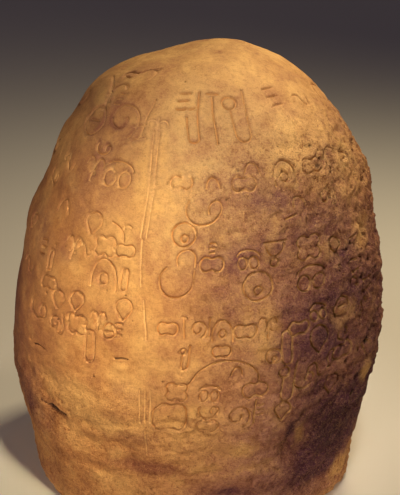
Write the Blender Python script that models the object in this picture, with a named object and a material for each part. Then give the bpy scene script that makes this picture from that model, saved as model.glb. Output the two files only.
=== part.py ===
"""Carved stone stele: an egg-shaped boulder that stands on its flat foot.

Five rows of shallow incised marks run round it, and an incised staff parts their beginnings from
their ends. Metres, +Z up. The staff's side faces -Y, and the origin is the middle of the foot.

A place on the surface is (azimuth, level). Azimuth is the angle round the stone from its front, in
radians, growing to the right. Level grows up the side by one for each radius climbed, so that a small
mark keeps its shape in these two numbers. A mark is drawn in its own plane, with x to the right, y up
and its own height as the unit.
"""

import math
import random

import bpy
import numpy as np
from mathutils import Vector
from mathutils.geometry import delaunay_2d_cdt

# The stone: its outline from the front as height, left edge and right edge
SECTIONS = np.array(
    (
        (0.000, -0.369, 0.352),
        (0.018, -0.380, 0.368),
        (0.050, -0.387, 0.375),
        (0.120, -0.396, 0.381),
        (0.210, -0.411, 0.399),
        (0.320, -0.420, 0.416),
        (0.440, -0.410, 0.420),
        (0.560, -0.387, 0.408),
        (0.670, -0.354, 0.384),
        (0.770, -0.304, 0.349),
        (0.850, -0.259, 0.300),
        (0.910, -0.215, 0.246),
        (0.955, -0.143, 0.190),
        (0.985, -0.036, 0.132),
        (1.000, 0.076, 0.076),
    )
)
DEPTH_RATIO = 0.885  # front to back, over side to side
SQUARENESS = 2.2  # of a level section, where 2 is an ellipse
CAP_RADIUS = 0.020  # of the small round cap that closes the top
CAP_RISE = 0.0008
FACET = 0.058  # between points of the plain surface
CLEAR_SHARE = 0.24  # of that, kept clear beside a cut line

# Local swells and hollows: azimuth in degrees, height, reach and push outwards
SWELLS = (
    (73, 0.010, 0.050, 0.007),
    (40, 0.020, 0.080, -0.008),
    (76, 0.110, 0.070, -0.004),
    (-92, 0.905, 0.060, 0.003),
    (-88, 0.810, 0.050, 0.004),
    (47, 0.240, 0.095, -0.013),
    (26, 0.300, 0.060, 0.005),
    (25, 0.420, 0.055, 0.004),
    (23, 0.530, 0.050, 0.003),
    (88, 0.720, 0.050, 0.003),
)
LUMP_PUSH = 0.0015  # of each wave of the broad unevenness all over
LUMP_PERIOD = 0.21
LUMP_WAVES = ((1.0, 0.0, 0.6, 1.0), (0.0, 1.3, -0.5, 2.0), (0.7, 0.0, 1.1, 0.3))  # x, y, z, phase

# Incised lines: half their width, and their depth
MARK_HALF = 0.0040
MARK_DEPTH = 0.0036
STAFF_HALF = 0.0034
STAFF_DEPTH = 0.0024
ARC_STEP = 52.0  # about how far a round line turns at one point, in degrees
LINE_STEP = 0.050  # most that a line runs straight, so that it follows the round stone

# The staff's middle line, as height and azimuth in degrees
STAFF_PATH = (
    (0.234, -15.0),
    (0.390, -15.7),
    (0.500, -16.5),
    (0.600, -19.0),
    (0.690, -20.5),
    (0.872, -22.3),
)
# The staff's lines: lower end, upper end, and how far right of the middle line
STAFF_LINES = (
    (0.690, 0.872, -0.0055),
    (0.690, 0.872, 0.0055),
    (0.600, 0.686, -0.0020),
    (0.496, 0.574, 0.0020),
    (0.312, 0.388, -0.0110),
    (0.312, 0.388, 0.0000),
    (0.312, 0.388, 0.0110),
    (0.234, 0.294, 0.0000),
)
STAFF_HEAD_FOOT = 0.876
STAFF_HEAD_SIZE = 0.026

# The marks of each row: shape, azimuth of its middle in degrees, height of its foot, its own height
ROWS = (
    (
        ("sweep", -62, 0.893, 0.070), ("leaf", -57, 0.847, 0.065), ("crest", -48, 0.946, 0.035),
        ("coil", -39, 0.852, 0.093), ("ticks", -12, 0.910, 0.040), ("hook", -6, 0.857, 0.108),
        ("stem", 5, 0.857, 0.106), ("prong", 18, 0.857, 0.106), ("ticks", 40, 0.906, 0.048),
        ("wave", 58, 0.898, 0.030),
    ),
    (
        ("wave", -61, 0.775, 0.030), ("fern", -47, 0.773, 0.045), ("owl", -36, 0.771, 0.051),
        ("bean", -10, 0.777, 0.028), ("crest", 2, 0.779, 0.023), ("ram", -1, 0.716, 0.060),
        ("bean", 14, 0.773, 0.030), ("crest", 18, 0.798, 0.027), ("arch", 31, 0.779, 0.048),
        ("bean", 44, 0.790, 0.030), ("fern", 52, 0.783, 0.047), ("coil", 47, 0.724, 0.047),
        ("leaf", 63, 0.777, 0.042),
    ),
    (
        ("capsule", -53, 0.589, 0.043), ("bean", -52, 0.551, 0.030), ("fern", -45, 0.626, 0.046),
        ("wave", -40, 0.641, 0.023), ("loop", -39, 0.680, 0.046), ("lobes", -33, 0.646, 0.040),
        ("arch", -32, 0.587, 0.055), ("sweep", -29, 0.680, 0.033), ("bean", -26, 0.650, 0.026),
        ("capsule", -25, 0.586, 0.045), ("eye", -7, 0.677, 0.047), ("drop", -8, 0.581, 0.096),
        ("bean", 3, 0.631, 0.030), ("ticks", 3, 0.665, 0.020), ("owl", 15, 0.633, 0.038),
        ("eye", 18, 0.572, 0.057), ("festoon", 24, 0.633, 0.052), ("lobes", 36, 0.638, 0.047),
        ("owl", 36, 0.577, 0.052), ("loop", 46, 0.634, 0.036), ("bar", 55, 0.646, 0.015),
        ("bean", 54, 0.586, 0.028),
    ),
    (
        ("ram", -56, 0.480, 0.044), ("loop", -47, 0.520, 0.041), ("coil", -47, 0.470, 0.045),
        ("loop", -40, 0.528, 0.041), ("lobes", -39, 0.482, 0.042), ("fern", -32, 0.502, 0.036),
        ("capsule", -34, 0.433, 0.066), ("leaf", -28, 0.487, 0.034), ("loop", -24, 0.528, 0.045),
        ("ticks", -25, 0.498, 0.025), ("bean", -10, 0.507, 0.027), ("stem", -5, 0.503, 0.041),
        ("prong", -4, 0.438, 0.048), ("coil", 0, 0.500, 0.043), ("arch", 7, 0.496, 0.044),
        ("bean", 14, 0.500, 0.030), ("fern", 21, 0.496, 0.043), ("eye", 23, 0.443, 0.028),
        ("capsule", 27, 0.438, 0.066), ("bean", 31, 0.493, 0.028), ("owl", 38, 0.512, 0.034),
        ("loop", 38, 0.441, 0.062), ("leaf", 47, 0.505, 0.044), ("fern", 57, 0.470, 0.044),
    ),
    (
        ("lobes", -6, 0.367, 0.041), ("pot", -8, 0.297, 0.066), ("canopy", 7, 0.402, 0.052),
        ("owl", 4, 0.367, 0.036), ("ram", 4, 0.327, 0.036), ("bean", 4, 0.295, 0.028),
        ("crest", 12, 0.420, 0.020), ("bean", 18, 0.371, 0.033), ("coil", 14, 0.302, 0.062),
        ("prong", 28, 0.355, 0.087), ("loop", 27, 0.308, 0.044), ("ram", 33, 0.376, 0.040),
        ("wave", 38, 0.388, 0.036), ("capsule", 43, 0.399, 0.041), ("bean", 48, 0.408, 0.034),
        ("loop", 45, 0.329, 0.050), ("fern", 58, 0.372, 0.044),
    ),
)  # fmt: skip
SMALLEST_MARK = 0.034  # of those the solid carries
SIZE_RANGE = (0.97, 1.03)
LEAN_RANGE = (-0.07, 0.07)

# The plainer marks behind: their shapes, their spacing, where they start and end, and for each row
# the height of their foot and their own height
BACK_MARKS = "wave ram bar fern crest".split()
BACK_SPACE = 0.105
BACK_AZIMUTHS = (74.0, 286.0)
BACK_ROWS = ((0.870, 0.060), (0.775, 0.044), (0.640, 0.048), (0.490, 0.046), (0.350, 0.046))
SEAM_GAP = 10.0  # degrees left clear at the middle of the back
SEED = 5

# Damage, as lines of (azimuth in degrees, height) with half a width and a depth
SCARS = (
    (((-51.5, 0.293), (-46.0, 0.287), (-41.0, 0.277)), 0.0075, 0.0150),
    (((-41.0, 0.277), (-37.0, 0.255), (-32.0, 0.228)), 0.0130, 0.0030),
    (((-56.5, 0.418), (-53.0, 0.424), (-51.0, 0.421)), 0.0030, 0.0040),
    (((-25.5, 0.449), (-22.0, 0.458), (-19.5, 0.452)), 0.0060, 0.0045),
    (((63.5, 0.438), (61.0, 0.424), (59.5, 0.412)), 0.0060, 0.0140),
    (((57.0, 0.300), (55.5, 0.282), (54.0, 0.266)), 0.0080, 0.0070),
)

# The flake scar low on the right: its upper edge, and how the stone drops beyond that edge
FLAKE_EDGE = (
    (43.0, 0.322),
    (38.5, 0.310),
    (34.5, 0.292),
    (31.8, 0.262),
    (30.2, 0.225),
    (29.6, 0.185),
    (30.0, 0.150),
)
FLAKE_DROP = 0.0100
FLAKE_STEP = 0.012
FLAKE_REACH = 0.085

# Weathered pits, most of them on the right flank
PIT_COUNT = 16
PIT_AZIMUTHS = (52.0, 84.0)
PIT_HEIGHTS = (0.47, 0.84)
PIT_RADII = (0.004, 0.007)
PIT_SIDES = 5

STONE_COLOUR = (0.46, 0.28, 0.13, 1.0)
STONE_ROUGHNESS = 0.82


def section_at(station):
    """Height, left edge and right edge at a station, which counts the sections from the foot."""
    below = 2 * SECTIONS[0] - SECTIONS[1]
    beyond = SECTIONS[-2][[0, 2, 1]]
    knots = np.vstack((below, SECTIONS, beyond))
    index = np.clip(np.floor(station).astype(int), 0, len(SECTIONS) - 2)
    u = (station - index)[..., None]
    a, b, c, d = (knots[index + step] for step in range(4))
    bend = (2 * a - 5 * b + 4 * c - d) * u**2 + (3 * b - a - 3 * c + d) * u**3
    return b + 0.5 * ((c - a) * u + bend)


def meridian():
    """Stations, heights, mean radii, climbs along the surface and levels, from the foot to the cap."""
    station = np.linspace(0, len(SECTIONS) - 1, 3000)
    height, left, right = section_at(station).T
    radius = 0.5 * (right - left) * math.sqrt(DEPTH_RATIO)
    steps = np.hypot(np.diff(radius), np.diff(height))
    middle = 0.5 * (radius[1:] + radius[:-1])
    climb = np.concatenate(((0,), np.cumsum(steps)))
    level = np.concatenate(((0,), np.cumsum(steps / np.maximum(middle, 1e-6))))
    below_cap = (radius >= CAP_RADIUS) | (height < 0.5)
    return tuple(values[below_cap] for values in (station, height, radius, climb, level))


STATIONS, HEIGHTS, RADII, CLIMBS, LEVELS = meridian()
TOP_LEVEL = LEVELS[-1]


def radius_at(level):
    return np.interp(level, LEVELS, RADII)


def level_at_height(height):
    return np.interp(height, HEIGHTS, LEVELS)


def body_point(azimuth, level):
    """The plain egg's point at a place."""
    height, left, right = section_at(np.interp(level, LEVELS, STATIONS)).T
    half_width = 0.5 * (right - left)
    across = np.abs(np.sin(azimuth)) / half_width
    along = np.abs(np.cos(azimuth)) / (DEPTH_RATIO * half_width)
    reach = (across**SQUARENESS + along**SQUARENESS) ** (-1 / SQUARENESS)
    x = 0.5 * (left + right) + reach * np.sin(azimuth)
    return np.column_stack((x, -reach * np.cos(azimuth), height))


def body_normal(azimuth, level):
    """The outward direction of the plain egg at a place."""
    step = 1e-3
    low = np.clip(level - 0.5 * step, 0, TOP_LEVEL - step)
    round_it = body_point(azimuth + step, level) - body_point(azimuth - step, level)
    up_it = body_point(azimuth, low + step) - body_point(azimuth, low)
    normal = np.cross(round_it, up_it)
    return normal / np.linalg.norm(normal, axis=1, keepdims=True)


def arc(x, y, wide, tall, start, end):
    """Part of an ellipse, with half-axes wide and tall, from one angle in degrees to another."""
    count = max(2, round(abs(end - start) / ARC_STEP))
    angles = np.radians(np.linspace(start, end, count + 1))
    return np.column_stack((x + wide * np.cos(angles), y + tall * np.sin(angles)))


def spiral(x, y, outer, inner, start, end):
    """A round line that closes in from its outer radius to its inner one."""
    count = round(abs(end - start) / ARC_STEP)
    angles = np.radians(np.linspace(start, end, count + 1))
    radii = np.linspace(outer, inner, count + 1)
    return np.column_stack((x + radii * np.cos(angles), y + radii * np.sin(angles)))


def line(*points):
    return np.array(points, float)


def joined(*curves, closed=False):
    """One line through several curves, each starting where the last one ends or a step away."""
    points = np.vstack(curves)
    if closed:
        points = np.vstack((points, points[:1]))
    gaps = np.linalg.norm(np.diff(points, axis=0), axis=1)
    return points[np.concatenate(((True,), gaps > 1e-3))]


def ring(x, y, wide, tall):
    return joined(arc(x, y, wide, tall, 90, 450)[:-1], closed=True)


def capsule():
    """A long narrow loop, upright."""
    top = arc(0, 0.86, 0.15, 0.14, 0, 180)
    return [joined(top, arc(0, 0.14, 0.15, 0.14, 180, 360), closed=True)]


def stem():
    """An upright stroke with a short one across its head."""
    return [line((0, 0), (0, 0.93)), line((-0.10, 1.0), (0.12, 0.97))]


def hook():
    """A tall stem that turns back up at its foot, as a short one."""
    foot = arc(0, 0.06, 0.10, 0.06, 360, 180)
    return [joined(line((0.10, 1.0)), foot, line((-0.10, 0.48))), line((-0.06, 0.64), (0.04, 0.66))]


def prong():
    """A tall stem that turns back up at its foot, to a small ring."""
    stroke = joined(line((0.14, 1.0)), arc(0, 0.14, 0.14, 0.14, 360, 180), line((-0.14, 0.60)))
    return [stroke, ring(-0.14, 0.76, 0.13, 0.13)]


def ticks():
    """Three short strokes, one over another."""
    return [line((-0.26, y), (0.24, y + 0.05)) for y in (0.05, 0.5, 0.95)]


def bar():
    return [line((-0.8, 0.3), (0.8, 0.7))]


def crest():
    """A low curve, open below."""
    return [arc(0, 0.0, 0.58, 1.0, 172, 8)]


def sweep():
    """A long slanting curve beside a short one."""
    return [arc(-0.9, -0.1, 1.3, 1.1, 5, 75), arc(0.42, 0.72, 0.22, 0.18, 200, 20)]


def leaf():
    """Two curves that meet in points, with a rib between them."""
    upper = arc(0.0, 0.25, 0.45, 0.7, 175, 15)
    return [upper, arc(-0.05, 0.6, 0.48, 0.6, 195, 345), line((-0.2, 0.45), (0.18, 0.48))]


def wave():
    """One crest and one trough."""
    return [joined(arc(-0.36, 0.5, 0.36, 0.5, 180, 0), arc(0.36, 0.5, 0.36, 0.5, 180, 360))]


def coil():
    """A curl that winds in, with a leg beside it."""
    leg = joined(line((0.46, 1.0), (0.46, 0.2)), arc(0.32, 0.2, 0.14, 0.16, 0, -90))
    return [spiral(-0.08, 0.45, 0.45, 0.12, -60, 385), leg]


def fern():
    """A stem between two curls that open downwards."""
    left = arc(-0.24, 0.64, 0.2, 0.36, -60, 170)
    return [line((0, 0), (0.02, 0.75)), left, arc(0.27, 0.64, 0.2, 0.36, 240, 10)]


def eye():
    """A ring round a smaller one, which sits low in it."""
    return [ring(0, 0.5, 0.54, 0.5), ring(0.03, 0.34, 0.15, 0.17)]


def owl():
    """Two small rings below one brow."""
    brow = arc(0, 0.62, 0.62, 0.38, 168, 12)
    return [ring(-0.31, 0.32, 0.25, 0.32), ring(0.31, 0.33, 0.25, 0.32), brow]


def bean():
    """A closed line with two lobes."""
    left = arc(-0.40, 0.5, 0.42, 0.48, 50, 310)
    return [joined(left, arc(0.40, 0.5, 0.42, 0.48, 230, 490), closed=True)]


def lobes():
    """A closed line with four lobes."""
    corners = ((0.28, 0.74, -65), (-0.28, 0.74, 25), (-0.28, 0.26, 115), (0.28, 0.26, 205))
    arcs = [arc(x, y, 0.26, 0.26, start, start + 220) for x, y, start in corners]
    return [joined(*arcs, closed=True)]


def loop():
    """A ring drawn out to a point at its foot."""
    return [joined(arc(0, 0.62, 0.38, 0.38, -25, 205), line((0, 0)), closed=True)]


def pot():
    """A wide closed line, square at its shoulders and dented below."""
    left = arc(-0.28, 0.36, 0.30, 0.36, 170, 285)
    right = arc(0.30, 0.36, 0.28, 0.36, 255, 370)
    top = line((0.56, 0.80), (0.40, 0.97), (0.08, 0.90), (-0.22, 0.94), (-0.50, 0.74))
    return [joined(left, line((0.02, 0.08)), right, top, closed=True)]


def arch():
    """A wide curve over a small ring."""
    return [arc(0.0, 0.15, 0.5, 0.85, 192, -12), ring(0.0, 0.34, 0.18, 0.2)]


def canopy():
    """A long low curve that reaches over the marks beside it."""
    return [joined(line((-1.75, -0.04), (-1.2, 0.06)), arc(0.25, 0.1, 1.32, 0.9, 165, 0))]


def ram():
    """A bowl whose right end curls inwards."""
    return [joined(arc(0.0, 0.5, 0.58, 0.5, 150, 360), arc(0.37, 0.5, 0.21, 0.26, 0, 215))]


def festoon():
    """A swag below a bar, with a small ring hung from it."""
    swag = arc(0, 0.9, 0.38, 0.48, 180, 360)
    return [line((-0.46, 0.96), (0.46, 1.0)), swag, ring(0, 0.17, 0.16, 0.17)]


def drop():
    """A large round loop, open above, where its end curls in."""
    neck = arc(0.15, 0.80, 0.20, 0.20, 0, 215)
    return [joined(arc(0.0, 0.35, 0.37, 0.35, 130, 375), neck)]


MARKS = {
    shape.__name__: shape
    for shape in (
        capsule, stem, hook, prong, ticks, bar, crest, sweep, leaf, wave, coil, fern,
        eye, owl, bean, lobes, loop, pot, arch, canopy, ram, festoon, drop,
    )
}  # fmt: skip


def place_curve(curve, azimuth, height, size):
    """A curve in a mark's own plane, laid on the surface with that plane's origin at a place."""
    climb = np.interp(height, HEIGHTS, CLIMBS) + size * curve[:, 1]
    level = np.interp(climb, CLIMBS, LEVELS)
    return np.column_stack((azimuth + size * curve[:, 0] / radius_at(level), level))


def place_mark(name, degrees, foot, size, chance):
    """The incised lines of one mark."""
    own_size = size * chance.uniform(*SIZE_RANGE)
    lean = chance.uniform(*LEAN_RANGE)
    lines = []
    for curve in MARKS[name]():
        x, y = curve.T
        leaning = np.column_stack((x + lean * (y - 0.5), y))
        lines.append(place_curve(leaning, math.radians(degrees), foot, own_size))
    return lines


def staff_azimuth(height):
    heights, azimuths = np.transpose(STAFF_PATH)
    return math.radians(float(np.interp(height, heights, azimuths)))


def back_marks(index, foot, size, chance):
    """The incised lines of one row's plainer marks behind."""
    start, end = BACK_AZIMUTHS
    radius = float(radius_at(level_at_height(foot + 0.5 * size)))
    count = int(math.radians(end - start) * radius / BACK_SPACE)
    lines = []
    for step in range(count):
        degrees = start + (step + 0.5) * (end - start) / count
        if abs(degrees - 180) > SEAM_GAP:
            name = BACK_MARKS[(step + 2 * index) % len(BACK_MARKS)]
            turned = degrees if degrees < 180 else degrees - 360
            lines += place_mark(name, turned, foot, size, chance)
    return lines


def staff_lines():
    """The upright lines of the staff and its curled head."""
    lines = []
    for low, high, offset in STAFF_LINES:
        count = math.ceil((high - low) / LINE_STEP)
        heights = np.linspace(low, high, count + 1)
        level = level_at_height(heights)
        azimuth = np.array([staff_azimuth(height) for height in heights])
        lines.append(np.column_stack((azimuth + offset / radius_at(level), level)))
    left = arc(-0.42, 0.35, 0.36, 0.36, -40, 200)
    right = arc(0.42, 0.35, 0.36, 0.36, 220, -20)
    middle = staff_azimuth(STAFF_HEAD_FOOT)
    for curve in (line((0, 0), (0, 0.9)), left, right):
        lines.append(place_curve(curve, middle, STAFF_HEAD_FOOT, STAFF_HEAD_SIZE))
    return lines


def place_path(path):
    """A path given as azimuths in degrees and heights, as places."""
    azimuths, heights = np.transpose(path)
    return np.column_stack((np.radians(azimuths), level_at_height(heights)))


def grooves():
    """Every cut line of the stone, as (places, half a width, depth)."""
    chance = random.Random(SEED)
    cuts = [(places, STAFF_HALF, STAFF_DEPTH) for places in staff_lines()]
    lines = []
    for row in ROWS:
        for name, degrees, foot, size in row:
            mark = place_mark(name, degrees, foot, size, chance)
            lines += mark if size >= SMALLEST_MARK else []
    for index, (foot, size) in enumerate(BACK_ROWS):
        lines += back_marks(index, foot, size, chance)
    cuts += [(places, MARK_HALF, MARK_DEPTH) for places in lines]
    cuts += [(place_path(path), half, depth) for path, half, depth in SCARS]
    return cuts


def pits():
    """Weathered pits, as (place, radius)."""
    chance = random.Random(SEED)
    found = []
    for _ in range(PIT_COUNT):
        azimuth = math.radians(chance.uniform(*PIT_AZIMUTHS))
        level = float(level_at_height(chance.uniform(*PIT_HEIGHTS)))
        found.append((np.array((azimuth, level)), chance.uniform(*PIT_RADII)))
    return found


def is_closed(places):
    return bool(np.allclose(places[0], places[-1]))


def directions(places):
    """The unit direction of a line at each of its points, in azimuth and level."""
    ahead = np.diff(places, axis=0)
    ahead /= np.linalg.norm(ahead, axis=1, keepdims=True)
    if is_closed(places):
        ahead = np.vstack((ahead[-1:], ahead, ahead[:1]))
    else:
        ahead = np.vstack((ahead[:1], ahead, ahead[-1:]))
    mean = ahead[1:] + ahead[:-1]
    return mean / np.maximum(np.linalg.norm(mean, axis=1, keepdims=True), 1e-9)


def lips(places, half):
    """The lips of a cut line: one round an open line, and one on each side of a closed line."""
    left = beside(places, half)
    right = beside(places, -half)
    if is_closed(places):
        return [left[:-1], right[:-1]]
    along = directions(places)
    tip = places[-1:] + along[-1:] * half / radius_at(places[-1, 1])
    tail = places[:1] - along[:1] * half / radius_at(places[0, 1])
    return [np.vstack((left, tip, right[::-1], tail))]


def distances(points, places):
    """How far each point is from a line, in azimuth and level."""
    start = places[:-1]
    step = places[1:] - start
    along = np.einsum("psk,sk->ps", points[:, None] - start, step) / (step**2).sum(1)
    nearest = start + np.clip(along, 0, 1)[..., None] * step
    return np.linalg.norm(points[:, None] - nearest, axis=2).min(axis=1)


def beside(places, reach):
    """The line that runs beside another, a reach in metres to its left."""
    along = directions(places)
    across = np.column_stack((-along[:, 1], along[:, 0]))
    return places + across * (reach / radius_at(places[:, 1]))[:, None]


def near(points, places, reach):
    """Which points lie in the box of a line, grown by a reach in metres."""
    margin = reach / radius_at(places[:, 1]).min()
    inside = (points > places.min(0) - margin) & (points < places.max(0) + margin)
    return np.flatnonzero(inside.all(axis=1))


def groove_depths(points, cuts):
    """How deep the incised lines are at each point. Each is a V."""
    depths = np.zeros(len(points))
    for places, half, depth in cuts:
        found = near(points, places, half)
        if found.size:
            share = distances(points[found], places) * radius_at(points[found, 1]) / half
            depths[found] = np.maximum(depths[found], depth * np.clip(1 - share, 0, 1))
    return depths


def pit_depths(points, holes):
    depths = np.zeros(len(points))
    for place, radius in holes:
        share = np.linalg.norm(points - place, axis=1) * radius_at(place[1]) / radius
        depths = np.maximum(depths, radius * np.clip(1 - share, 0, 1))
    return depths


def flake_lines():
    """The flake scar's edge, the foot of the step below it, and a line across its hollow."""
    edge = place_path(FLAKE_EDGE)
    middle = 0.5 * (FLAKE_STEP + FLAKE_REACH)
    return edge, beside(edge, FLAKE_STEP)[1:-1], beside(edge, middle)[2:-2]


def flake_depths(points):
    """How far the flake scar lies below the plain surface: a step at its edge, fading beyond it."""
    edge = place_path(FLAKE_EDGE)
    found = near(points, edge, FLAKE_REACH)
    depths = np.zeros(len(points))
    here = points[found]
    gap = distances(here, edge) * radius_at(here[:, 1])
    beyond = here[:, 0] > np.interp(here[:, 1], edge[::-1, 1], edge[::-1, 0])
    share = np.clip((here[:, 1] - edge[-1, 1]) / (edge[0, 1] - edge[-1, 1]), 0, 1)
    step = np.clip(gap / FLAKE_STEP, 0, 1) * np.sin(math.pi * share)
    fade = np.clip(1 - (gap - FLAKE_STEP) / (FLAKE_REACH - FLAKE_STEP), 0, 1)
    depths[found] = np.where(beyond, FLAKE_DROP * step * fade, 0)
    return depths


def swells(points):
    """The push of the named swells and hollows, and of the broad unevenness."""
    push = np.zeros(len(points))
    for degrees, height, reach, amount in SWELLS:
        middle = body_point(np.radians([degrees]), level_at_height([height]))
        push += amount * np.exp(-((points - middle) ** 2).sum(1) / reach**2)
    for *direction, phase in LUMP_WAVES:
        push += LUMP_PUSH * np.sin(points @ direction * math.tau / LUMP_PERIOD + phase)
    return push


def plain_points(lines):
    """Evenly spaced places of the plain surface, clear of the lines given, and the seam's levels."""
    row_height = FACET * math.sqrt(3) / 2
    row_count = round(CLIMBS[-1] / row_height)
    seam = np.interp(np.linspace(0, CLIMBS[-1], row_count + 1), CLIMBS, LEVELS)
    found = []
    for index, level in enumerate(seam):
        count = max(8, round(math.tau * float(radius_at(level)) / FACET))
        shift = 0.75 if index % 2 else 0.25
        azimuths = -math.pi + math.tau * (np.arange(count) + shift) / count
        found.append(np.column_stack((azimuths, np.full(count, level))))
    points = np.vstack(found)
    clear = np.ones(len(points), bool)
    for places, half in lines:
        reach = half + CLEAR_SHARE * FACET
        close = near(points, places, reach)
        gap = distances(points[close], places) * radius_at(points[close, 1])
        clear[close[gap < reach]] = False
    on_rim = (points[:, 1] <= 0) | (points[:, 1] >= TOP_LEVEL)
    return points[clear | on_rim], seam


def triangulate(cuts, holes):
    """Places and triangles of the unrolled side, with every cut line kept as edges."""
    guides = flake_lines()
    clear_lines = [(places, half) for places, half, _ in cuts] + [(guide, 0) for guide in guides]
    points, seam = plain_points(clear_lines)
    chains = [(guide, False) for guide in guides]
    for places, half, _ in cuts:
        chains += [(lip, True) for lip in lips(places, half)]
        chains.append((places[:-1], True) if is_closed(places) else (places, False))
    for place, radius in holes:
        angles = math.tau * np.arange(PIT_SIDES) / PIT_SIDES
        rim = np.column_stack((np.cos(angles), np.sin(angles)))
        chains.append((place + rim * radius / radius_at(place[1]), True))
        chains.append((place[None], False))
    for side in (-math.pi, math.pi):
        chains.append((np.column_stack((np.full(len(seam), side), seam)), False))
    vertices = [points]
    edges = []
    count = len(points)
    for places, closed in chains:
        size = len(places)
        last = size if closed else size - 1
        edges += [(count + step, count + (step + 1) % size) for step in range(last)]
        vertices.append(places)
        count += size
    flat = [Vector(point) for point in np.vstack(vertices)]
    result = delaunay_2d_cdt(flat, edges, [], 0, 1e-6)
    return np.array([tuple(point) for point in result[0]]), np.array(result[2])


def close_round(points, faces):
    """Joins the two sides of the seam at the back, and drops what that leaves unused."""
    left = np.flatnonzero(points[:, 0] < -math.pi + 1e-5)
    right = np.flatnonzero(points[:, 0] > math.pi - 1e-5)
    left = left[np.argsort(points[left, 1])]
    right = right[np.argsort(points[right, 1])]
    target = np.arange(len(points))
    target[right] = left
    faces = target[faces]
    kept, faces = np.unique(faces, return_inverse=True)
    return points[kept], faces.reshape(-1, 3)


def stone_surface():
    """Points in space and triangles of the whole closed stone."""
    cuts = grooves()
    holes = pits()
    places, faces = close_round(*triangulate(cuts, holes))
    azimuth, level = places.T
    plain = body_point(azimuth, level)
    depth = groove_depths(places, cuts) + pit_depths(places, holes) + flake_depths(places)
    push = swells(plain) - depth
    points = plain + body_normal(azimuth, level) * push[:, None]
    foot = np.flatnonzero(level <= 1e-6)
    cap = np.flatnonzero(level >= TOP_LEVEL - 1e-6)
    points[foot, 2] = 0
    top = points[cap].mean(0) + np.array((0, 0, CAP_RISE))
    middle = np.array((points[foot, 0].mean(), points[foot, 1].mean(), 0))
    points = np.vstack((points, middle, top))
    fans = []
    for rim, centre, upward in ((foot, len(points) - 2, False), (cap, len(points) - 1, True)):
        order = rim[np.argsort(places[rim, 0])]
        following = np.roll(order, -1)
        first, second = (order, following) if upward else (following, order)
        fans.append(np.column_stack((first, second, np.full(len(order), centre))))
    return points, np.vstack((faces, *fans))


def centred(points):
    """The points moved so that the stone's box has its middle over the origin."""
    low, high = points.min(0), points.max(0)
    return points - np.array((*(0.5 * (low + high)[:2]), low[2]))


def stone_material():
    material = bpy.data.materials.new("andesite")
    material.use_nodes = True
    surface = material.node_tree.nodes["Principled BSDF"]
    surface.inputs["Base Color"].default_value = STONE_COLOUR
    surface.inputs["Roughness"].default_value = STONE_ROUGHNESS
    surface.inputs["Metallic"].default_value = 0.0
    material.diffuse_color = STONE_COLOUR
    return material


def make_stele():
    points, faces = stone_surface()
    mesh = bpy.data.meshes.new("stele")
    mesh.from_pydata(centred(points).tolist(), [], faces.tolist())
    mesh.shade_smooth()
    mesh.set_sharp_from_angle(angle=math.radians(35))
    mesh.materials.append(stone_material())
    stele = bpy.data.objects.new("stele", mesh)
    bpy.context.scene.collection.objects.link(stele)
    return stele


def main():
    for item in list(bpy.data.objects):
        bpy.data.objects.remove(item)
    make_stele()


main()
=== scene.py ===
"""The look of the carved stone stele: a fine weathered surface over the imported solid, its stone
material, a pale floor, soft lights and the camera.

Metres, +Z up. The stone's front faces -Y. A place on the surface is (azimuth, level). Azimuth is the
angle round the stone from its front, in radians, growing to the right. Level grows up the side by one
for each radius climbed, so that a small mark keeps its shape in these two numbers. A mark is drawn in
its own plane, with x to the right, y up and its own height as the unit.
"""

import math
import random

import bpy
import numpy as np
from mathutils import Euler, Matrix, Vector, noise
from mathutils.geometry import delaunay_2d_cdt


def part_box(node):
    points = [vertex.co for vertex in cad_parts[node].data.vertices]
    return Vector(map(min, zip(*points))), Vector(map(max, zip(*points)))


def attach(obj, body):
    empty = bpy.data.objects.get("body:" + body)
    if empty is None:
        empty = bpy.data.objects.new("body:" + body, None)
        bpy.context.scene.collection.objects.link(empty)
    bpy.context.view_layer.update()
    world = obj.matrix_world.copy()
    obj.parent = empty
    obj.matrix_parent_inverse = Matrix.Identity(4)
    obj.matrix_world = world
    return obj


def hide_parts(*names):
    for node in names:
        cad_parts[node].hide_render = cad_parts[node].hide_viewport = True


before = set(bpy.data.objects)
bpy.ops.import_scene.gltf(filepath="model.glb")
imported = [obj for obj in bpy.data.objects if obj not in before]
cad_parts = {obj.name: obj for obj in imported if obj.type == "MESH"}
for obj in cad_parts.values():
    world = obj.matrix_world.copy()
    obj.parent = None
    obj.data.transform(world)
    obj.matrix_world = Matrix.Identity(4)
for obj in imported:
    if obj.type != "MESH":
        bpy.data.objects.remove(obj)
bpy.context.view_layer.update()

# The stone, as in the solid: its outline from the front as height, left edge and right edge
SECTIONS = np.array(
    (
        (0, -.369, .352), (.018, -.38, .368), (.05, -.387, .375), (.12, -.396, .381), (.21, -.411, .399),
        (.32, -.42, .416), (.44, -.41, .42), (.56, -.387, .408), (.67, -.354, .384), (.77, -.304, .349),
        (.85, -.259, .3), (.91, -.215, .246), (.955, -.143, .19), (.985, -.036, .132), (1, .076, .076),
    )
)  # fmt: skip
DEPTH_RATIO = 0.885  # front to back, over side to side
SQUARENESS = 2.2  # of a level section, where 2 is an ellipse
CAP_RADIUS = 0.02  # of the small round cap that closes the top
CAP_RISE = 0.0008

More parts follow.
